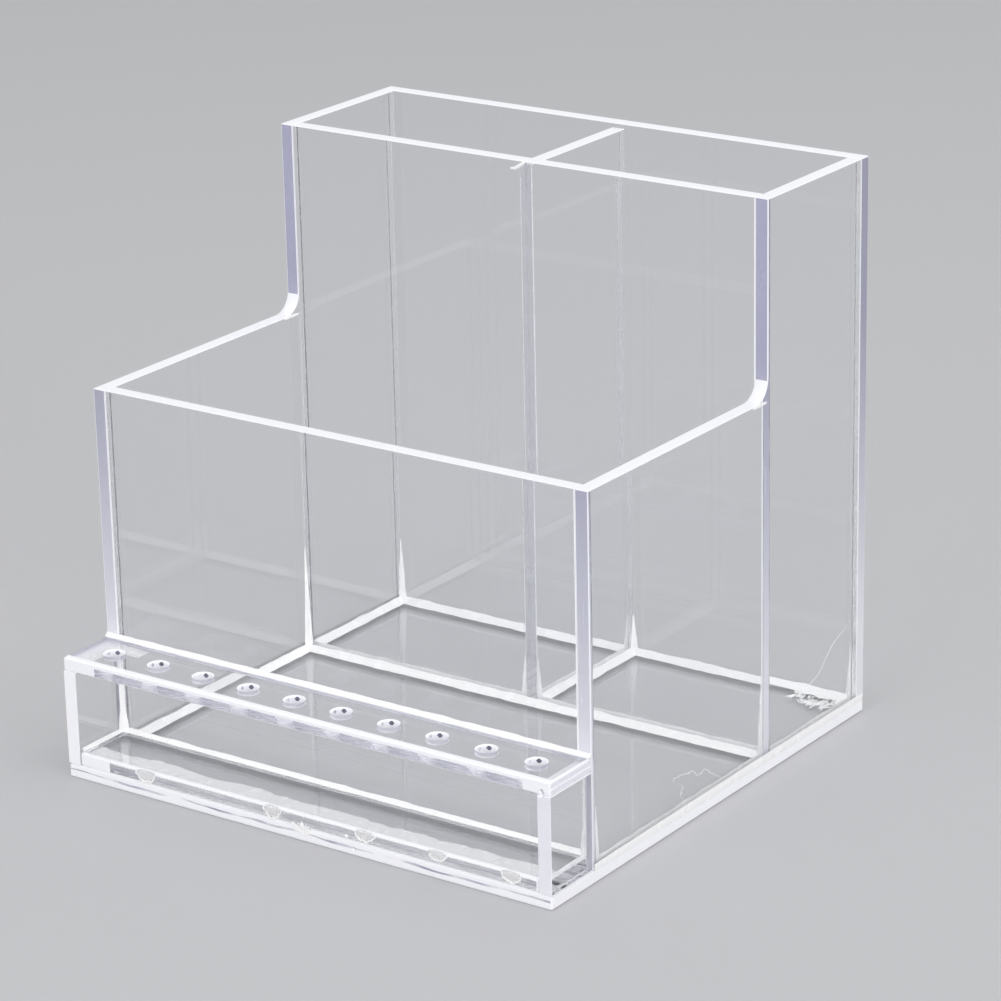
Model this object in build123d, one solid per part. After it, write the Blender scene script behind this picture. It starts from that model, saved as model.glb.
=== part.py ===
from build123d import *
import os

# Clear acrylic desk holder for nail drill bits, brushes and tools.
# Ten-hole bit rack in front, one wide low compartment behind it, and two
# tall compartments at the rear. Every piece is cut from one thickness of
# clear sheet, and the pieces are cemented face to edge, so nothing moves.
# Units are millimetres, +Z is up and the rack faces -Y. The origin is the
# middle of the underside.

# Driving dimensions
sheet = 3.0  # thickness of every sheet
width = 120.0  # left to right, outside
depth = 117.0  # front of the rack to the back, outside
tall_height = 121.0  # rear compartments, from the table
low_height = 80.0  # front compartment, from the table
rack_height = 26.5  # top of the bit rack, from the table
tall_depth = 39.0  # back of the holder to the front of the partition
box_depth = 103.0  # back of the holder to the front of the low compartment
step_radius = 4.5  # rounded inner corner of the side panels' step
divider_drop = 1.0  # the divider's top lies this far below the rim
divider_shift = 1.5  # the divider stands this far right of the middle
hole_count = 10  # bit holes in the rack
hole_pitch = 11.6  # middle to middle
hole_diameter = 4.0  # for 2.35 mm and 3 mm shanks

# Places worked out from them
right = width / 2
left = -right
back = depth / 2
front = -back
inner_right = right - sheet
inner_left = left + sheet
floor_top = sheet
partition_front = back - tall_depth
box_front = back - box_depth
rack_depth = box_front - front
rack_middle = front + rack_depth / 2


def cut_sheet(x_range, y_range, z_range):
    """A rectangular piece between two places along each axis."""
    sizes = [high - low for low, high in (x_range, y_range, z_range)]
    middles = [(low + high) / 2 for low, high in (x_range, y_range, z_range)]
    return Pos(*middles) * Box(*sizes)


def base_plate():
    """The floor of the whole holder, which runs out under the rack."""
    return cut_sheet((left, right), (front, back), (0, floor_top))


def back_panel():
    """Full-width rear wall. It covers the rear ends of the side panels."""
    return cut_sheet((left, right), (back - sheet, back), (floor_top, tall_height))


def side_panel(outer_x, inner_x):
    """One stepped side wall, tall at the rear and low at the front."""
    rear = back - sheet
    corner_y = partition_front - step_radius
    corner_z = low_height + step_radius
    bend = step_radius * (1 - 2**-0.5)
    with BuildPart() as panel:
        with BuildSketch(Plane.YZ.offset(min(outer_x, inner_x))):
            with BuildLine():
                Polyline(
                    (partition_front, corner_z),
                    (partition_front, tall_height),
                    (rear, tall_height),
                    (rear, floor_top),
                    (box_front, floor_top),
                    (box_front, low_height),
                    (corner_y, low_height),
                )
                ThreePointArc(
                    (corner_y, low_height),
                    (partition_front - bend, low_height + bend),
                    (partition_front, corner_z),
                )
            make_face()
        extrude(amount=sheet)
    return panel.part


def front_panel():
    """Front wall of the low compartment, between the side panels."""
    return cut_sheet(
        (inner_left, inner_right),
        (box_front, box_front + sheet),
        (floor_top, low_height),
    )


def partition_panel():
    """Tall wall between the low compartment and the two rear ones."""
    return cut_sheet(
        (inner_left, inner_right),
        (partition_front, partition_front + sheet),
        (floor_top, tall_height),
    )


def centre_divider():
    """Parts the tall rear space in two, front to back."""
    return cut_sheet(
        (divider_shift - sheet / 2, divider_shift + sheet / 2),
        (partition_front + sheet, back - sheet),
        (floor_top, tall_height - divider_drop),
    )


def hole_places():
    """X of each bit hole, left to right."""
    first = -hole_pitch * (hole_count - 1) / 2
    return [first + hole_pitch * number for number in range(hole_count)]


def rack_top_plate():
    """Drilled top of the rack, which covers both end plates."""
    plate = cut_sheet(
        (left, right), (front, box_front), (rack_height - sheet, rack_height)
    )
    middle_z = rack_height - sheet / 2
    for x in hole_places():
        plate -= Pos(x, rack_middle, middle_z) * Cylinder(hole_diameter / 2, 2 * sheet)
    return plate


def rack_end(outer_x, inner_x):
    """One upright end of the rack, between the base and the top plate."""
    return cut_sheet(
        (min(outer_x, inner_x), max(outer_x, inner_x)),
        (front, box_front),
        (floor_top, rack_height - sheet),
    )


def rack_lower_plate():
    """Rest under the holes, where the tips of the bits stand."""
    return cut_sheet(
        (inner_left, inner_right), (front, box_front), (floor_top, floor_top + sheet)
    )


pieces = {
    "base_plate": base_plate(),
    "back_panel": back_panel(),
    "left_side_panel": side_panel(left, inner_left),
    "right_side_panel": side_panel(right, inner_right),
    "front_panel": front_panel(),
    "partition_panel": partition_panel(),
    "centre_divider": centre_divider(),
    "rack_top_plate": rack_top_plate(),
    "rack_left_end": rack_end(left, inner_left),
    "rack_right_end": rack_end(right, inner_right),
    "rack_lower_plate": rack_lower_plate(),
}

os.makedirs("parts", exist_ok=True)
for name, piece in pieces.items():
    export_step(piece, f"parts/{name}.step")
    box = piece.bounding_box()
    size = " x ".join(f"{length:.2f}" for length in box.size)
    print(f"{name}: {size} mm, {piece.volume / 1000:.2f} cm3")
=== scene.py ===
import bpy
import bmesh
import math
import random
from collections import namedtuple
from mathutils import Matrix, Vector, noise


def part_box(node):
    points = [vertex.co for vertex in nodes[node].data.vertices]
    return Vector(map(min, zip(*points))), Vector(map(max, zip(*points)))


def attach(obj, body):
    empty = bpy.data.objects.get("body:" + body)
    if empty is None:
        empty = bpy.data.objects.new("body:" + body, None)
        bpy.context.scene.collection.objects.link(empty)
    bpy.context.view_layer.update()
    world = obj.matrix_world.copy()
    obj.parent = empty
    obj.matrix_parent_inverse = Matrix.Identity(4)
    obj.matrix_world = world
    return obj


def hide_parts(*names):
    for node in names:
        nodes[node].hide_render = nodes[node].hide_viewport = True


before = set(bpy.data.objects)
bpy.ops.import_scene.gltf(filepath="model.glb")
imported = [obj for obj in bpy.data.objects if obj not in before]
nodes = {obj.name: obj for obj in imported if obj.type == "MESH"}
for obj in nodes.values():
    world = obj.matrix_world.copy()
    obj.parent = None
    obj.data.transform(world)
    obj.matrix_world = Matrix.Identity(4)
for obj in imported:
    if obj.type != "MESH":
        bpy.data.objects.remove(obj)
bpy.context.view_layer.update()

# Camera, fitted to the corners of the object in the photograph. Lengths in metres.
camera_azimuth = math.radians(35.41)
camera_elevation = math.radians(19.44)
camera_roll = math.radians(-1.26)
camera_distance = 0.78
camera_target = Vector((0.0170, -0.0119, 0.0604))
focal_pixels = 3919.6
frame_pixels = 1001

# Lamps: name, place and size in metres, power in watts
lamps = (
    ("top_softbox", (0.1, 0.1, 1.5), (1.6, 1.6), 7.6),
    ("front_softbox", (-0.2, -2.2, 0.7), (1.6, 1.0), 16),
    ("right_softbox", (2.2, -0.3, 0.7), (1.6, 1.0), 16),
)
lamp_target = Vector((0, 0, 0.05))
world_strength = 0.57
floor_size = 8

# Colours, as linear RGB
floor_colour = (0.56, 0.56, 0.575, 1)
world_colour = (0.98, 0.99, 1.0, 1)
clear_tint = (0.99, 0.993, 1.0, 1)
frost_white = (0.95, 0.95, 0.985, 1)
# Painted shade: the half-tone grey of the line on the base's front edge and of the pale spot in
# each hole
half_shade_grey = (0.33, 0.34, 0.44, 1)
# Painted shade: the deep grey of the dark spot in each hole
deep_shade_grey = (0.09, 0.09, 0.12, 1)
lavender_high = (0.62, 0.62, 0.80, 1)
lavender_low = (0.93, 0.93, 0.99, 1)
cement_white = (0.97, 0.965, 0.965, 1)

# Real sizes in metres, as in the solids
mm = 0.001
sheet = 3 * mm
half_width = 60 * mm
inner_half = half_width - sheet
rack_front = -58.5 * mm
box_front = -44.5 * mm
box_inside = -41.5 * mm
partition_front = 19.5 * mm
partition_back = 22.5 * mm
back_wall = 55.5 * mm  # the rear wall's front face
tall_height = 121 * mm
low_height = 80 * mm
rack_height = 26.5 * mm
lower_plate_top = 6 * mm
divider_left = 0
divider_right = 3 * mm

hole_count = 10
hole_pitch = 11.6 * mm
hole_radius = 2 * mm
hole_mouth = 2.3 * mm  # radius of the upper rim
hole_chamfer = 0.3 * mm  # at the lower rim
hole_y = -51.5 * mm
hole_sides = 60

# Edges, and the gaps that part the sheets from each other
edge_break = 0.2 * mm
fine_edge_break = 0.15 * mm
corner_cut = 0.3 * mm
front_steps = 60  # parts of a level sheet's front edge
cement_gap = 0.02 * mm
end_gap = 0.2 * mm  # at the sides of the rack's lower sheet
film_gap = 0.16 * mm  # under it, for the films of cement
acrylic_ior = 1.49

# Cement: how far a bead reaches over both sheets, and how far it stands off them
floor_bead = 1.35 * mm
rack_top_bead = 0.85 * mm
rack_floor_bead = 0.8 * mm
rack_side_bead = 0.6 * mm
foot_width = 1.3 * mm  # an upright bead's reach at the base
foot_tip = 0.12 * mm  # and higher up
rack_corner_bead = (1.5 * mm, 0.85 * mm, 5 * mm)  # at the base, above the taper, its length
bead_hollow = 0.72  # how far a bead's face is drawn in, as a share of its reach
bead_step = 1.5 * mm
level_stand_off = 0.02 * mm
deep_stand_off = 0.05 * mm  # for the beads that run front to back
upright_stand_off = 0.08 * mm
joint_film = 0.016 * mm  # thickness of the cement between an end and a face

# Directions
LEFT, RIGHT, FRONT, BACK, UP = (-1, 0, 0), (1, 0, 0), (0, -1, 0), (0, 1, 0), (0, 0, 1)

# Places of the looks in the list that every sheet has
CLEAR, UPRIGHT, FROSTED, DRILLED, CORNER, HALF_SHADE, JOINT, DEEP_SHADE = range(8)

# Two spots of painted shade in each hole, a dark one and a small pale one.
# They take up these sides of three of the rings of faces round the wall.
narrow_ring = {17: DEEP_SHADE, 18: DEEP_SHADE, 19: DEEP_SHADE, 27: HALF_SHADE}
wide_ring = {**narrow_ring, 16: DEEP_SHADE, 20: DEEP_SHADE, 26: HALF_SHADE, 28: HALF_SHADE}
painted_hole_spots = {2: narrow_ring, 3: wide_ring, 4: narrow_ring}

# A band of a level sheet's edge: how high its upper rim lies, how far in that is at the
# sides and at the front, the looks of the front and of the others, and how much it wanders
Band = namedtuple("Band", "height inset front_inset front other wander")


def make_camera():
    """Looks at the target from the photograph's side and height."""
    view = Vector((
        -math.sin(camera_azimuth) * math.cos(camera_elevation),
        math.cos(camera_azimuth) * math.cos(camera_elevation),
        -math.sin(camera_elevation),
    ))
    level_right = view.cross(Vector((0, 0, 1))).normalized()
    level_up = level_right.cross(view)
    right = level_right * math.cos(camera_roll) + level_up * math.sin(camera_roll)
    up = level_up * math.cos(camera_roll) - level_right * math.sin(camera_roll)
    data = bpy.data.cameras.new("camera")
    data.sensor_width = 36
    data.lens = focal_pixels * data.sensor_width / frame_pixels
    data.clip_start = 0.05
    camera = bpy.data.objects.new("camera", data)
    turn = Matrix((right, up, -view)).transposed().to_4x4()
    camera.matrix_world = Matrix.Translation(camera_target - view * camera_distance) @ turn
    bpy.context.scene.collection.objects.link(camera)
    bpy.context.scene.camera = camera


def area_light(name, place, size, power):
    """A softbox that faces the middle of the object."""
    data = bpy.data.lights.new(name, "AREA")
    data.shape = "RECTANGLE"
    data.size, data.size_y = size
    data.energy = power
    lamp = bpy.data.objects.new(name, data)
    lamp.location = place
    lamp.rotation_euler = (lamp_target - Vector(place)).to_track_quat("-Z", "Y").to_euler()
    bpy.context.scene.collection.objects.link(lamp)


class Look:
    """One material, with short calls for its nodes."""

    def __init__(self, name, colour, roughness, transmission):
        self.material = bpy.data.materials.new(name)
        self.material.use_nodes = True
        self.tree = self.material.node_tree
        self.shader = self.tree.nodes["Principled BSDF"]
        self.shader.inputs["Base Color"].default_value = colour
        self.shader.inputs["Roughness"].default_value = roughness
        self.shader.inputs["Transmission Weight"].default_value = transmission
        self.shader.inputs["IOR"].default_value = acrylic_ior
        self.place = self.add("ShaderNodeTexCoord").outputs["Object"]

    def add(self, kind, settings=None, **inputs):
        """A node of this kind. Inputs are values or other nodes' outputs."""
        node = self.tree.nodes.new(kind)
        for setting, value in (settings or {}).items():
            setattr(node, setting, value)
        for socket, value in inputs.items():
            target = node.inputs[socket.replace("_", " ")]
            if isinstance(value, bpy.types.NodeSocket):
                self.tree.links.new(value, target)
            else:
                target.default_value = value
        return node

    def stretched(self, scale):
        """Object coordinates in metres, multiplied along each axis."""
        node = self.add("ShaderNodeMapping", Vector=self.place)
        node.inputs["Scale"].default_value = scale
        return node.outputs["Vector"]

    def cloud(self, scale, detail=2.0, place=None):
        """Soft noise between 0 and 1."""
        return self.add(
            "ShaderNodeTexNoise", Vector=place or self.place, Scale=scale, Detail=detail
        ).outputs["Fac"]

    def matt(self):
        """No shine, so that the colour shows from inside the clear sheet as well."""
        self.shader.inputs["Specular IOR Level"].default_value = 0

    def spread(self, value, low, high, from_low=0.0, from_high=1.0):
        """Carries one range over to another."""
        node = self.add("ShaderNodeMapRange", Value=value)
        node.inputs["From Min"].default_value = from_low
        node.inputs["From Max"].default_value = from_high
        node.inputs["To Min"].default_value = low
        node.inputs["To Max"].default_value = high
        return node.outputs["Result"]

    def blend(self, amount, first, second):
        """Mixes two colours."""
        node = self.tree.nodes.new("ShaderNodeMix")
        node.data_type = "RGBA"
        self.tree.links.new(amount, node.inputs["Factor"])
        for socket, value in ((node.inputs[6], first), (node.inputs[7], second)):
            if isinstance(value, bpy.types.NodeSocket):
                self.tree.links.new(value, socket)
            else:
                socket.default_value = value
        return node.outputs[2]

    def colour(self, output):
        self.tree.links.new(output, self.shader.inputs["Base Color"])

    def transmission(self, output):
        self.tree.links.new(output, self.shader.inputs["Transmission Weight"])

    def roughness(self, output):
        self.tree.links.new(output, self.shader.inputs["Roughness"])

    def bump(self, height, distance, strength=1.0):
        """Relief of a real height in metres."""
        node = self.add(
            "ShaderNodeBump", Height=height, Distance=distance, Strength=strength
        )
        self.tree.links.new(node.outputs["Normal"], self.shader.inputs["Normal"])


def clear_look():
    """Cast sheet: colourless, with faint wiping marks."""
    look = Look("clear_acrylic", clear_tint, 0.0, 1.0)
    smears = look.cloud(60, 3, look.stretched((1, 1, 0.25)))
    look.roughness(look.spread(smears, 0.0, 0.035, 0.55, 0.75))
    return look.material


def scraped_look(name, run):
    """Scraped edge: part frosted, brighter toward the base, streaked along axis run."""
    look = Look(name, lavender_low, 0.22, 0.2)
    height = look.add("ShaderNodeSeparateXYZ", Vector=look.place).outputs["Z"]
    climb = look.spread(height, 0.0, 1.0, 20 * mm, 90 * mm)
    look.colour(look.blend(climb, lavender_low, lavender_high))
    look.transmission(look.spread(climb, 0.15, 0.45))
    grain = [2500, 2500, 2500]
    grain[run] = 90
    streaks = look.cloud(1, 4, look.stretched(grain))
    look.roughness(look.spread(streaks, 0.12, 0.34))
    look.bump(streaks, 0.03 * mm)
    return look.material


def joint_look():
    """Edge wetted by cement: clear, with a rippled gloss."""
    look = Look("cemented_edge", frost_white, 0.12, 1.0)
    ripple = look.cloud(400, 3)
    look.roughness(look.spread(ripple, 0.08, 0.24))
    return look.material


def frosted_look():
    """Sawn edge seen from above or through a face: white and matt."""
    look = Look("sawn_edge", frost_white, 0.35, 0.0)
    look.matt()
    grain = look.cloud(1, 4, look.stretched((900, 900, 900)))
    look.roughness(look.spread(grain, 0.25, 0.5))
    look.bump(grain, 0.02 * mm)
    return look.material


def drilled_look():
    """Wall of a drilled hole, with rings left by the drill."""
    look = Look("drilled_wall", frost_white, 0.4, 0.0)
    look.matt()
    rings = look.cloud(1, 2, look.stretched((150, 150, 4500)))
    look.roughness(look.spread(rings, 0.3, 0.55))
    look.bump(rings, 0.03 * mm)
    return look.material


def arris_look():
    """Narrow scraped corner of a sheet, nearly white."""
    look = Look("scraped_corner", frost_white, 0.3, 0.0)
    look.matt()
    grain = look.cloud(700, 3)
    look.roughness(look.spread(grain, 0.2, 0.45))
    return look.material


def half_shade_look():
    """Painted shade: a dull grey line along the base's front edge, stronger in places. The same
    look makes the pale painted spot in each hole.
    """
    look = Look("painted_half_shade", half_shade_grey, 0.3, 0.0)
    fading = look.spread(look.cloud(1, 3, look.stretched((75, 0, 0))), 0.0, 1.0, 0.40, 0.62)
    look.colour(look.blend(fading, half_shade_grey, frost_white))
    grain = look.cloud(1, 3, look.stretched((300, 300, 3000)))
    look.roughness(look.spread(grain, 0.2, 0.45))
    look.bump(grain, 0.03 * mm)
    return look.material


def deep_shade_look():
    """Painted shade: a dark spot on the wall of each hole."""
    look = Look("painted_deep_shade", deep_shade_grey, 0.4, 0.0)
    look.matt()
    rings = look.cloud(1, 2, look.stretched((400, 400, 3000)))
    look.colour(look.blend(look.spread(rings, 0.0, 0.6), deep_shade_grey, half_shade_grey))
    look.bump(rings, 0.03 * mm)
    return look.material


def cement_look(name, transmission):
    """Dried clear cement, milky where it stands thick."""
    look = Look(name, cement_white, 0.2, transmission)
    lumps = look.cloud(450, 3)
    look.roughness(look.spread(lumps, 0.1, 0.4))
    look.bump(lumps, 0.05 * mm)
    return look.material


def is_cemented(name, normal):
    """Whether this face is the upright end of a sheet that butts against another sheet."""
    if name in ("front_panel", "partition_panel"):
        return abs(normal.x) > 0.5
    if name == "centre_divider":
        return abs(normal.y) > 0.5
    return name in ("left_side_panel", "right_side_panel") and normal.y > 0.5


def dress_sheets(looks, reworked):
    """Clear faces, worked edges and broken corners on every other sheet."""
    for name, piece in nodes.items():
        if name in reworked:
            continue
        low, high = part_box(name)
        thin = min(range(3), key=lambda axis: (high - low)[axis])
        mesh = piece.data
        mesh.materials.clear()
        for look in looks:
            mesh.materials.append(look)
        for face in mesh.polygons:
            in_view = name == "back_panel" or face.normal.y < -0.5
            # Undersides are clear too, because cement wets them all over
            if abs(face.normal[thin]) > 0.9 or face.normal.z < -0.9:
                face.material_index = CLEAR
            elif is_cemented(name, face.normal):
                face.material_index = JOINT
            elif abs(face.normal.z) < 0.2 and in_view and name != "rack_left_end":
                face.material_index = UPRIGHT
            else:
                face.material_index = FROSTED
        weld = piece.modifiers.new("join_faces", "WELD")
        weld.merge_threshold = 0.001 * mm
        shrink = piece.modifiers.new("cement_gap", "DISPLACE")
        shrink.mid_level = 0
        shrink.strength = -cement_gap
        bevel = piece.modifiers.new("edge_break", "BEVEL")
        bevel.width = fine_edge_break if name == "centre_divider" else edge_break
        bevel.segments = 2
        bevel.limit_method = "ANGLE"
        bevel.angle_limit = math.radians(40)
        bevel.material = CORNER


def new_piece(name, work, materials, sharp=50):
    """Turns a bmesh into a piece that rides on the body."""
    mesh = bpy.data.meshes.new(name)
    bmesh.ops.recalc_face_normals(work, faces=work.faces)
    work.to_mesh(mesh)
    work.free()
    mesh.set_sharp_from_angle(angle=math.radians(sharp))
    for material in materials:
        mesh.materials.append(material)
    piece = bpy.data.objects.new(name, mesh)
    bpy.context.scene.collection.objects.link(piece)
    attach(piece, "root")
    return piece


def plate_outline(low, high, inset, front_inset):
    """Points round a plate whose corners are cut off, and the side that follows each."""
    left, right = low.x + inset, high.x - inset
    front, back = low.y + front_inset, high.y - inset
    first = left + corner_cut
    stride = (right - corner_cut - first) / front_steps
    points = [(first + stride * step, front) for step in range(front_steps + 1)]
    points += [
        (right, front + corner_cut),
        (right, back - corner_cut),
        (right - corner_cut, back),
        (left + corner_cut, back),
        (left, back - corner_cut),
        (left, front + corner_cut),
    ]
    sides = ["front"] * front_steps
    sides += ["corner", "right", "corner", "back", "corner", "left", "corner"]
    return points, sides


def skin(work, first, second, paint, smooth=False):
    """Quads between two closed loops of equally many corners. Paint gives each its look."""
    for index in range(len(first)):
        following = (index + 1) % len(first)
        face = work.faces.new((first[index], first[following], second[following], second[index]))
        face.material_index = paint(index)
        face.smooth = smooth


def loop_edges(work, loop):
    """The edges of a closed loop of corners."""
    return [work.edges.get((loop[index - 1], loop[index])) for index in range(len(loop))]


def drill(work, x, y, low, high):
    """The wall of one hole, with its chamfers and painted shade spots, as rings from the underside
    up.
    """
    # Radius and height of each ring
    profile = (
        (hole_radius + hole_chamfer, low),
        (hole_radius, low + hole_chamfer),
        (hole_radius, high - 1.15 * mm),
        (hole_radius, high - 0.9 * mm),
        (hole_radius, high - 0.5 * mm),
        (hole_radius, high - 0.25 * mm),
        (hole_mouth, high),
    )
    turns = [math.tau * turn / hole_sides for turn in range(hole_sides)]
    rings = [
        [work.verts.new((x + r * math.cos(turn), y + r * math.sin(turn), z)) for turn in turns]
        for r, z in profile
    ]
    for band, (lower, upper) in enumerate(zip(rings, rings[1:])):
        spots = painted_hole_spots.get(band, {})
        skin(work, lower, upper, lambda index: spots.get(index, DRILLED), smooth=True)
    return rings


def worked_plate(name, node, looks, low, high, bands, holes=(), clear_span=None):
    """A level sheet in place of its plain node, its edges worked band by band.

    The front edge is white outside clear_span, where cement has run over it.
    """
    work = bmesh.new()
    loops = []
    for band in bands:
        points, sides = plate_outline(low, high, band.inset, band.front_inset)
        loop = []
        for (x, y), side in zip(points, sides):
            wander = band.wander * noise.noise(Vector((x * 160, band.height * 900, 0)))
            lift = wander if side == "front" else 0
            loop.append(work.verts.new((x, y, low.z + band.height + lift)))
        loops.append(loop)
    for band, lower, upper in zip(bands[1:], loops, loops[1:]):
        def paint(index):
            if sides[index] != "front":
                return CORNER if sides[index] == "corner" else band.other
            x = lower[index].co.x
            covered = clear_span and not clear_span[0] < x < clear_span[1]
            return CORNER if covered else band.front
        skin(work, lower, upper, paint)
    mouths = [drill(work, x, y, low.z, high.z) for x, y in holes]
    for rim, end in ((loops[0], 0), (loops[-1], -1)):
        if not mouths:
            work.faces.new(rim)
            continue
        rims = [rim] + [rings[end] for rings in mouths]
        edges = [edge for loop in rims for edge in loop_edges(work, loop)]
        bmesh.ops.triangle_fill(work, edges=edges, use_beauty=True, use_dissolve=False)
    piece = new_piece(name, work, looks, sharp=30)
    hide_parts(node)
    return piece


def plate_box(node, end_trim, under_trim):
    """The node's box, drawn in a little where it meets its neighbours."""
    low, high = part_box(node)
    return (
        low + Vector((end_trim, cement_gap, under_trim)),
        high - Vector((end_trim, cement_gap, cement_gap)),
    )


def worked_plates(looks):
    """The base and the two level sheets of the rack."""
    low, high = plate_box("base_plate", cement_gap, cement_gap)
    worked_plate("base_sheet", "base_plate", looks, low, high, (
        Band(0, 0.3 * mm, 0.3 * mm, CORNER, CORNER, 0),
        Band(0.3 * mm, 0, 0, CORNER, CORNER, 0),
        Band(1.55 * mm, 0, 0, FROSTED, FROSTED, 0.5 * mm),
        # The front of this band is a line of painted shade
        Band(1.95 * mm, 0, 0, HALF_SHADE, FROSTED, 0.45 * mm),
        Band(high.z - low.z - 0.4 * mm, 0, 0, CORNER, FROSTED, 0),
        Band(high.z - low.z, 0.4 * mm, 0.4 * mm, CORNER, CORNER, 0),
    ))
    low, high = plate_box("rack_lower_plate", end_gap, film_gap)
    top = high.z - low.z
    worked_plate("rack_lower_sheet", "rack_lower_plate", looks, low, high, (
        Band(0, 0.25 * mm, 0.25 * mm, CORNER, CORNER, 0),
        Band(0.25 * mm, 0, 0, CORNER, CORNER, 0),
        Band(top - 0.6 * mm, 0, 0, CLEAR, CLEAR, 0.15 * mm),
        Band(top - 0.3 * mm, 0, 0, CORNER, CORNER, 0),
        Band(top, 0.3 * mm, 0.3 * mm, CORNER, CORNER, 0),
        Band(top, 0.3 * mm, 0.8 * mm, CORNER, CORNER, 0),
    ), clear_span=(-50.5 * mm, half_width))
    low, high = plate_box("rack_top_plate", cement_gap, cement_gap)
    top = high.z - low.z
    first = -hole_pitch * (hole_count - 1) / 2
    worked_plate("rack_top_sheet", "rack_top_plate", looks, low, high, (
        Band(0, 0.3 * mm, 0.3 * mm, CORNER, CORNER, 0),
        Band(0.3 * mm, 0, 0, CORNER, CORNER, 0),
        Band(1.1 * mm, 0, 0, CLEAR, UPRIGHT, 0),
        Band(1.6 * mm, 0, 0, CLEAR, CORNER, 0),
        Band(top - 1.0 * mm, 0, 0, CLEAR, UPRIGHT, 0.12 * mm),
        Band(top - 0.4 * mm, 0, 0, CORNER, UPRIGHT, 0),
        Band(top, 0.4 * mm, 0.4 * mm, CORNER, CORNER, 0),
        Band(top, 0.4 * mm, 1.3 * mm, CORNER, CORNER, 0),
    ), [(first + hole_pitch * number, hole_y) for number in range(hole_count)],
        clear_span=(-52.5 * mm, 52.5 * mm))


def swept(rings, work=None):
    """A closed skin over rings of equally many points, in a mesh of its own or in work."""
    if work is None:
        work = bmesh.new()
    loops = [[work.verts.new(point) for point in ring] for ring in rings]
    for first, second in zip(loops, loops[1:]):
        skin(work, first, second, lambda index: 0, smooth=True)
    work.faces.new(loops[0])
    work.faces.new(list(reversed(loops[-1])))
    return work


def cement_bead(name, start, end, first, second, sizes, stand_off, material):
    """Hollow-faced bead in the corner between two sheets, a little uneven.

    The sizes are its reach at the start, its reach beyond the taper and the taper's length.
    It stands off both sheets by its own small distance, so no two beads share a face.
    """
    first, second = Vector(first), Vector(second)
    shift = (first + second) * stand_off
    start, end = Vector(start) + shift, Vector(end) + shift
    along = (end - start).normalized()
    trim = along * stand_off * 1.4
    start, end = start + trim, end - trim
    length = (end - start).length
    widest, narrowest, taper = sizes
    steps = max(6, int(length / bead_step))
    rings = []
    for step in range(steps + 1):
        middle = start.lerp(end, step / steps)
        # Waves about 4 mm long, with finer ones of about 1 mm on them
        wobble = noise.noise(middle * 260) * 0.22 + noise.noise(middle * 900) * 0.10
        tapering = max(0, 1 - length * step / steps / taper)
        reach = (narrowest + (widest - narrowest) * tapering) * (1 + wobble)
        ring = [middle]
        for turn in range(5):
            angle = math.radians(90) * turn / 4
            over_first = (1 - bead_hollow * math.sin(angle)) * (turn < 4)
            over_second = (1 - bead_hollow * math.cos(angle)) * (turn > 0)
            ring.append(middle + first * reach * over_first + second * reach * over_second)
        rings.append(ring)
    return new_piece(name, swept(rings), [material])


def ridge_rings(points, facing, width, height, ends):
    """Half-round sections of a raised line. Ends is the share of its size left at the tips."""
    points = [Vector(point) for point in points]
    facing = Vector(facing)
    last = len(points) - 1
    rings = []
    for index, point in enumerate(points):
        along = points[min(index + 1, last)] - points[max(index - 1, 0)]
        side = along.cross(facing).normalized()
        swell = ends + (1 - ends) * abs(math.sin(math.pi * index / last)) ** 0.5
        rings.append([
            point
            + side * (width / 2 * swell * math.cos(math.pi * turn / 6))
            + facing * (height * swell * math.sin(math.pi * turn / 6))
            for turn in range(7)
        ])
    return rings


def ridge(name, points, facing, width, height, material, ends=0.25):
    """A raised line of dried cement along a face."""
    return new_piece(name, swept(ridge_rings(points, facing, width, height, ends)), [material])


def strokes(name, lines, facing, height, material):
    """Many short raised lines as one piece. Each line is its points and its width."""
    work = bmesh.new()
    for points, width in lines:
        swept(ridge_rings(points, facing, width, height, 0.15), work)
    return new_piece(name, work, [material])


def droplet(name, centre, facing, half_width, up, down, depth, material):
    """A hardened drop on an upright face, with an uneven rim."""
    centre, facing = Vector(centre), Vector(facing)
    across = Vector((0, 0, 1)).cross(facing)
    rings = []
    for rise in (0, 15, 35, 55, 72, 84):
        angle = math.radians(rise)
        ring = []
        for turn in range(24):
            bearing = math.tau * turn / 24
            away = Vector((math.cos(bearing), math.sin(bearing), 0))
            reach = math.cos(angle) * (1 + 0.2 * noise.noise(centre * 300 + away))
            tall = up if away.y > 0 else down
            ring.append(
                centre
                + across * half_width * reach * away.x
                + Vector((0, 0, tall)) * reach * away.y
                + facing * depth * math.sin(angle)
            )
        rings.append(ring)
    return new_piece(name, swept(rings), [material])


def jagged(points, stride, amount):
    """Points every stride along a broken line, each pushed off it a little, all in mm."""
    points = [Vector(point) * mm for point in points]
    made = []
    for first, second in zip(points, points[1:]):
        steps = max(1, round((second - first).length / (stride * mm)))
        made += [first.lerp(second, step / steps) for step in range(steps)]
    made.append(points[-1])
    spans = [max(values) - min(values) for values in zip(*points)]
    flat = spans.index(min(spans))
    for point in made[1:-1]:
        # Three places far apart in the noise push the point along the three axes
        places = [point * 1700 + Vector((0, 0, 40 * axis)) for axis in range(3)]
        push = Vector([noise.noise(place) for place in places]) * (amount * mm)
        push[flat] = 0
        point += push
    return made


def cement_film(name, left, right, front, back, low, high, wander, material):
    """Thin dried layer between two level sheets, whose rear edge wanders."""
    steps = 80
    rings = []
    for step in range(steps + 1):
        x = left + (right - left) * step / steps
        edge = back + wander * noise.noise(Vector((x * 90, 3, 0)))
        edge += wander * 0.5 * noise.noise(Vector((x * 420, 7, 0)))
        near = front + 0.1 * mm * noise.noise(Vector((x * 500, 11, 0)))
        rings.append([
            Vector((x, near, low)), Vector((x, edge, low)),
            Vector((x, edge, high)), Vector((x, near, high)),
        ])
    return new_piece(name, swept(rings), [material])


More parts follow.
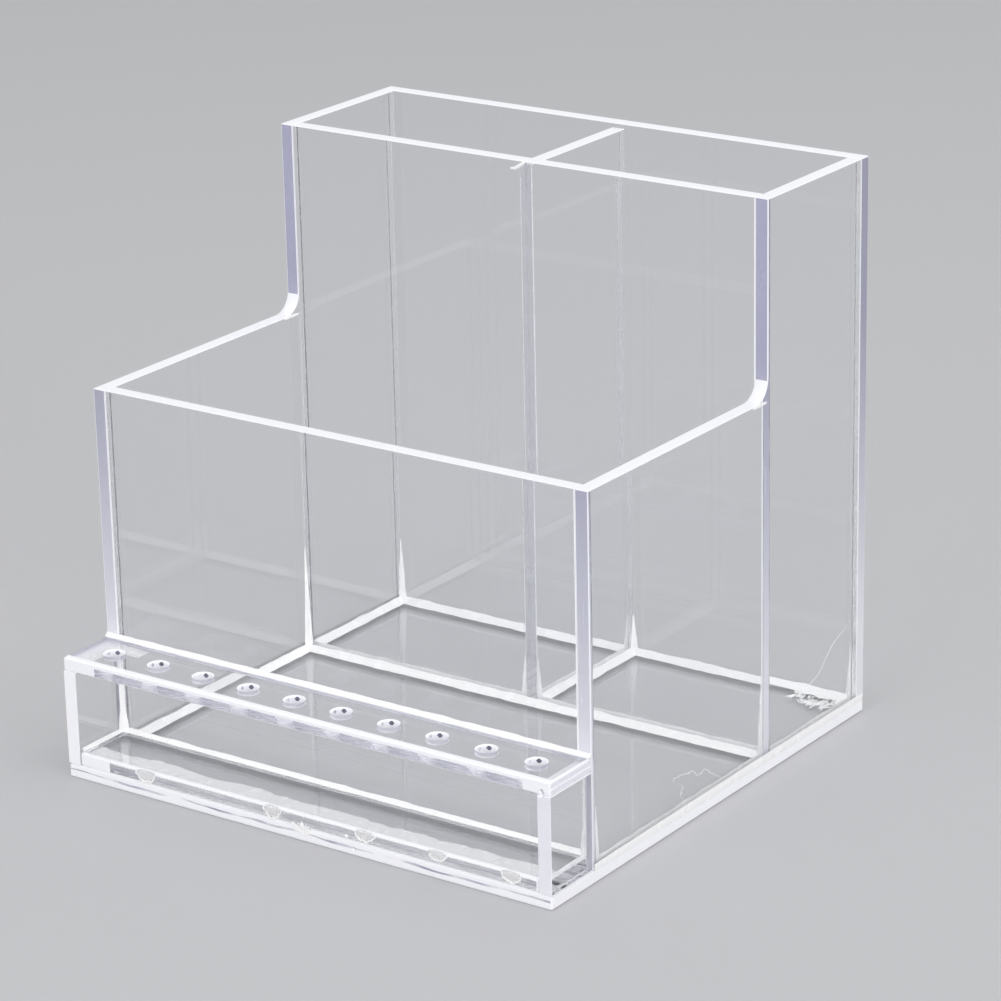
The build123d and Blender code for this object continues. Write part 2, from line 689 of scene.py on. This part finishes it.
def make_stage():
    """A pale floor under a pale, even sky."""
    bpy.ops.mesh.primitive_plane_add(size=floor_size, location=(0, 0, 0))
    floor = bpy.context.object
    floor.name = "floor"
    look = Look("floor", floor_colour, 0.6, 0.0)
    floor.data.materials.append(look.material)
    world = bpy.data.worlds.new("studio")
    bpy.context.scene.world = world
    world.use_nodes = True
    background = world.node_tree.nodes["Background"]
    background.inputs["Color"].default_value = world_colour
    background.inputs["Strength"].default_value = world_strength


def level_bead(name, start, end, height, away, reach, material):
    """An even bead along a level joint, from one x and y to another."""
    stand_off = level_stand_off if start[1] == end[1] else deep_stand_off
    cement_bead(
        name, (*start, height), (*end, height), away, UP, (reach, reach, 1), stand_off, material,
    )


def floor_beads(material):
    """Cement along every joint between a wall and the base, and in the rack."""
    joints = {
        "bead_box_left": ((-inner_half, box_inside), (-inner_half, partition_front), RIGHT),
        "bead_box_right": ((inner_half, box_inside), (inner_half, partition_front), LEFT),
        "bead_box_front": ((-inner_half, box_inside), (inner_half, box_inside), BACK),
        "bead_partition_front": (
            (-inner_half, partition_front), (inner_half, partition_front), FRONT,
        ),
        "bead_rear_left_side": ((-inner_half, partition_back), (-inner_half, back_wall), RIGHT),
        "bead_rear_right_side": ((inner_half, partition_back), (inner_half, back_wall), LEFT),
        "bead_divider_left": ((divider_left, partition_back), (divider_left, back_wall), LEFT),
        "bead_divider_right": ((divider_right, partition_back), (divider_right, back_wall), RIGHT),
        "bead_back_left": ((-inner_half, back_wall), (divider_left, back_wall), FRONT),
        "bead_back_right": ((divider_right, back_wall), (inner_half, back_wall), FRONT),
        "bead_partition_rear_left": (
            (-inner_half, partition_back), (divider_left, partition_back), BACK,
        ),
        "bead_partition_rear_right": (
            (divider_right, partition_back), (inner_half, partition_back), BACK,
        ),
    }
    for name, (start, end, away) in joints.items():
        level_bead(name, start, end, sheet, away, floor_bead, material)
    level_bead(
        "bead_rack_top", (-half_width, box_front), (half_width, box_front),
        rack_height, FRONT, rack_top_bead, material,
    )
    level_bead(
        "bead_rack_floor", (-inner_half, box_front), (inner_half, box_front),
        lower_plate_top, FRONT, rack_floor_bead, material,
    )
    for name, x, away in (
        ("bead_rack_left", -inner_half, RIGHT), ("bead_rack_right", inner_half, LEFT),
    ):
        level_bead(
            name, (x, rack_front + 0.8 * mm), (x, box_front),
            lower_plate_top, away, rack_side_bead, material,
        )


def upright_beads(material):
    """Cement drawn up the foot of each upright joint, and all the way up in the rack."""
    # Where the corner stands, the two ways that the bead reaches, and its height in mm
    feet = {
        "joint_divider_front_left": (divider_left, partition_back, LEFT, BACK, 10),
        "joint_divider_front_right": (divider_right, partition_back, RIGHT, BACK, 10),
        "joint_divider_back_left": (divider_left, back_wall, LEFT, FRONT, 9),
        "joint_divider_back_right": (divider_right, back_wall, RIGHT, FRONT, 9),
        "joint_rear_left": (-inner_half, back_wall, RIGHT, FRONT, 15),
        "joint_rear_right": (inner_half, back_wall, LEFT, FRONT, 14),
        "joint_partition_left": (-inner_half, partition_front, RIGHT, FRONT, 24),
        "joint_partition_right": (inner_half, partition_front, LEFT, FRONT, 18),
        "joint_box_left": (-inner_half, box_inside, RIGHT, BACK, 12),
        "joint_box_right": (inner_half, box_inside, LEFT, BACK, 12),
    }
    for name, (x, y, first, second, tall) in feet.items():
        cement_bead(
            name, (x, y, sheet), (x, y, sheet + tall * mm), first, second,
            (foot_width, foot_tip, tall * mm), upright_stand_off, material,
        )
    for name, x, inward in (
        ("joint_rack_left", -inner_half, RIGHT), ("joint_rack_right", inner_half, LEFT),
    ):
        cement_bead(
            name, (x, box_front, lower_plate_top), (x, box_front, rack_height - sheet),
            inward, FRONT, rack_corner_bead, upright_stand_off, material,
        )


def joint_films(material):
    """Cement in the gaps between the upright ends of sheets and the sheets across them."""
    middle = sheet / 2
    # Where the middle of each film stands, and the top of the sheets there
    gaps = {
        "partition_left": (-inner_half, partition_front + middle, tall_height),
        "partition_right": (inner_half, partition_front + middle, tall_height),
        "box_left": (-inner_half, box_front + middle, low_height),
        "box_right": (inner_half, box_front + middle, low_height),
        "rear_left": (middle - half_width, back_wall, tall_height),
        "rear_right": (half_width - middle, back_wall, tall_height),
    }
    steps = 30
    for name, (x, y, top) in gaps.items():
        faces_back = y == back_wall
        thin, wide = joint_film / 2, middle - 0.35 * mm
        half_x, half_y = (wide, thin) if faces_back else (thin, wide)
        low, high = sheet + 0.3 * mm, top - 0.6 * mm
        rings = []
        for step in range(steps + 1):
            z = low + (high - low) * step / steps
            wander = 0.15 * mm * noise.noise(Vector((x * 100, y * 100, z * 400)))
            centre = Vector((x + wander, y, z)) if faces_back else Vector((x, y + wander, z))
            rings.append([
                centre + Vector((-half_x, -half_y, 0)), centre + Vector((half_x, -half_y, 0)),
                centre + Vector((half_x, half_y, 0)), centre + Vector((-half_x, half_y, 0)),
            ])
        new_piece(f"joint_film_{name}", swept(rings), [material])


def lower_films(material):
    """Films of cement under the rack's lower sheet, as wide as the sheet."""
    left, right = -inner_half + 0.3 * mm, inner_half - 0.3 * mm
    low, high = sheet + 0.02 * mm, sheet + 0.12 * mm
    cement_film(
        "film_front", left, right, rack_front + 0.3 * mm, rack_front + 1.5 * mm,
        low, high, 0.3 * mm, material,
    )
    cement_film(
        "film_middle", left, right, rack_front + 2.1 * mm, rack_front + 6.5 * mm,
        low, high, 1.2 * mm, material,
    )


def upper_films(material):
    """Films of cement under the left end of the drilled sheet."""
    under = rack_height - sheet
    cement_film(
        "film_left_end", -inner_half + 0.02 * mm, -54.7 * mm, rack_front + 0.6 * mm,
        box_front - 0.4 * mm, under - 0.12 * mm, under - 0.02 * mm, 0.2 * mm, material,
    )
    cement_film(
        "film_left_rear", -54.75 * mm, -48.2 * mm, -48.9 * mm,
        box_front - 0.6 * mm, under - 0.11 * mm, under - 0.03 * mm, 0.4 * mm, material,
    )


def rack_runs(white, milky):
    """Runs of cement over the lower sheet's front edge, each with a raised white rim."""
    # Middle, half width and height of each, in mm
    runs = (
        (-39.4, 2.5, 2.1), (-6.9, 2.2, 2.3), (15.9, 2.4, 1.9), (33.4, 2.1, 1.7), (50.7, 2.3, 2.0),
    )
    top = lower_plate_top - 0.3 * mm
    for number, (x, half_wide, tall) in enumerate(runs, 1):
        rim = []
        for turn in range(17):
            angle = math.radians(185 + 170 * turn / 16)
            uneven = 1 + 0.2 * noise.noise(Vector((number * 7, turn * 0.5, 0)))
            rim.append((
                (x + half_wide * uneven * math.cos(angle)) * mm, rack_front,
                top + tall * uneven * math.sin(angle) * mm,
            ))
        ridge(f"run_rim_{number}", rim, FRONT, 0.45 * mm, 0.3 * mm, white, ends=0.3)
        droplet(
            f"run_{number}", (x * mm, rack_front, top), FRONT, (half_wide - 0.1) * mm,
            0.3 * mm, (tall - 0.1) * mm, 0.35 * mm, milky,
        )


def rack_splash(material):
    """A splash on the rack's front: strokes that fan out of one point, longer upward."""
    pick = random.Random(9)
    middle_x, middle_z = 1.0, 2.1  # in mm, like each stroke's reach
    stroke_count = 15
    turn = 24.2  # degrees from one stroke to the next
    lines = []
    for number in range(stroke_count):
        bearing = math.radians(4 + turn * number + pick.uniform(-9, 9))
        upward = math.sin(bearing) > 0
        reach = pick.uniform(1.6, 3.2) if upward else pick.uniform(0.7, 1.5)
        width = pick.uniform(0.3, 0.75) * mm
        points = [
            (
                (middle_x + 1.25 * part * reach * math.cos(bearing)) * mm, rack_front,
                (middle_z + part * reach * math.sin(bearing)) * mm,
            )
            for part in (0.1, 0.35, 0.6, 0.8, 1)
        ]
        lines.append((points, width))
    strokes("splash", lines, FRONT, 0.2 * mm, material)


def rack_drops(white, clear):
    """Small drops and bubbles on the rack's front."""
    # Place, half width, half height and depth in mm, and the look
    drops = {
        "splash_dot": (11.5, 3.9, 0.45, 0.35, 0.2, white),
        "base_bubble": (13.2, 1.5, 0.5, 0.4, 0.3, clear),
        "corner_bubble": (58.0, 23.8, 0.9, 1.0, 0.7, clear),
    }
    for name, (x, z, half_wide, half_tall, depth, material) in drops.items():
        droplet(
            name, (x * mm, rack_front, z * mm), FRONT, half_wide * mm,
            half_tall * mm, half_tall * mm, depth * mm, material,
        )


def wiped_smear(material):
    """Cement wiped off the rear joint: a ragged patch, and strokes that fan out of it."""
    edge = back_wall - 0.5 * mm
    low, high = sheet + 0.01 * mm, sheet + 0.1 * mm
    patch_left, patch_width = 44.2, 12.5  # in mm
    steps = 90
    rings = []
    for step in range(steps + 1):
        x = (patch_left + patch_width * step / steps) * mm
        ragged = 1.6 + 1.5 * noise.noise(Vector((x * 300, 5, 0)))
        ragged += 1.3 * noise.noise(Vector((x * 1100, 9, 0)))
        tip = edge - max(0.3, ragged) * mm
        rings.append([
            Vector((x, edge, low)), Vector((x, tip, low)),
            Vector((x, tip, high)), Vector((x, edge, high)),
        ])
    new_piece("smear_patch", swept(rings), [material])
    pick = random.Random(21)
    stroke_count = 46
    middle, half_middle = 51.5, 6  # in mm: the longest strokes start here
    lines = []
    for _ in range(stroke_count):
        x, y = pick.uniform(44.6, 56.0), pick.uniform(50.2, 53.6)
        bearing = math.radians(pick.gauss(262, 26))
        near_middle = max(0, 1 - abs(x - middle) / half_middle)
        length = pick.uniform(0.8, 2.6) + 3.2 * near_middle * pick.random()
        bend = pick.uniform(-0.5, 0.5)
        points = []
        for part in (0, 0.25, 0.5, 0.75, 1):
            turned = bearing + bend * part
            points.append((
                min(56.8, x + length * part * math.cos(turned)) * mm,
                (y + length * part * math.sin(turned)) * mm, sheet,
            ))
        lines.append((points, pick.uniform(0.2, 0.62) * mm))
    strokes("smear_strokes", lines, UP, 0.14 * mm, material)


def outer_joints(white):
    """Cement wiped along the outside of the joints between the sides and the base."""
    face = half_width - cement_gap
    first, last = box_front + 0.5 * mm, back_wall + 2.5 * mm
    height = sheet + 0.35 * mm
    width, thickness = 1.9 * mm, 0.1 * mm
    steps = 40
    for name, x, facing in (("seam_right", face, RIGHT), ("seam_left", -face, LEFT)):
        line = [
            Vector((x, first + (last - first) * step / steps, height))
            for step in range(steps + 1)
        ]
        ridge(name, line, facing, width, thickness, white, ends=0.8)


def marks(white):
    """Small faults of the real one, in mm: cracks, a scratch and stray cement, and two white
    ridges that are painted highlights.
    """
    crack = (
        (48.3, -1.0, 3), (47.7, 2.8, 3), (48.7, 4.6, 3), (48.6, 6.5, 3), (50.8, 4.5, 3),
        (50.4, 8.4, 3), (53.7, 6.8, 3), (55.3, 6.4, 3), (58.0, 4.7, 3),
    )
    branch = ((49.5, -0.7, 3), (50.7, -1.3, 3), (53.1, -5.1, 3), (54.9, -7.6, 3))
    ridge("base_crack", jagged(crack, 0.7, 0.8), UP, 0.2 * mm, 0.08 * mm, white)
    ridge("base_crack_branch", jagged(branch, 0.9, 0.8), UP, 0.14 * mm, 0.06 * mm, white)
    scratch = ((60, 34.8, 13.2), (60, 40.0, 14.8), (60, 45.7, 19.6), (60, 51.8, 21.8))
    ridge("side_scratch", jagged(scratch, 1.5, 0.4), RIGHT, 0.14 * mm, 0.05 * mm, white)
    # Painted highlights: white ridges for two small highlights just under the side panels' low
    # rims
    ridge(
        "highlight_ridge_left",
        [(-inner_half, y * mm, low_height - 0.35 * mm) for y in (14.2, 15.5, 17, 18.3, 19.4)],
        RIGHT, 0.7 * mm, 0.15 * mm, white, ends=0.5,
    )
    ridge(
        "highlight_ridge_right",
        [(half_width, y * mm, low_height - 0.4 * mm) for y in (13.8, 15.2, 16.6, 18.0, 19.0)],
        RIGHT, 0.8 * mm, 0.15 * mm, white, ends=0.4,
    )
    hook = ((-0.9, 119.1), (0.1, 119.2), (1.1, 119.8), (2.0, 120.4), (2.4, 120.8))
    ridge(
        "divider_hook", [(x * mm, partition_front, z * mm) for x, z in hook],
        FRONT, 0.8 * mm, 0.35 * mm, white, ends=0.7,
    )
    wiped_smear(white)


make_camera()
make_stage()
for lamp in lamps:
    area_light(*lamp)

looks = [
    clear_look(),
    scraped_look("scraped_upright_edge", 2),
    frosted_look(),
    drilled_look(),
    arris_look(),
    half_shade_look(),
    joint_look(),
    deep_shade_look(),
]
cement = cement_look("dried_cement", 0.0)
thin_cement = cement_look("thin_cement", 0.6)
dress_sheets(looks, ("base_plate", "rack_top_plate", "rack_lower_plate"))
worked_plates(looks)
floor_beads(cement)
upright_beads(cement)
joint_films(looks[UPRIGHT])
lower_films(cement)
rack_runs(cement, thin_cement)
rack_splash(cement)
upper_films(cement)
rack_drops(cement, looks[CLEAR])
outer_joints(cement)
marks(cement)

bpy.context.scene.view_settings.view_transform = "Standard"
cycles = bpy.context.scene.cycles
cycles.max_bounces = 32
cycles.transmission_bounces = 32
cycles.glossy_bounces = 16
cycles.diffuse_bounces = 8
cycles.blur_glossy = 0  # any more loses the light that comes through clear sheets
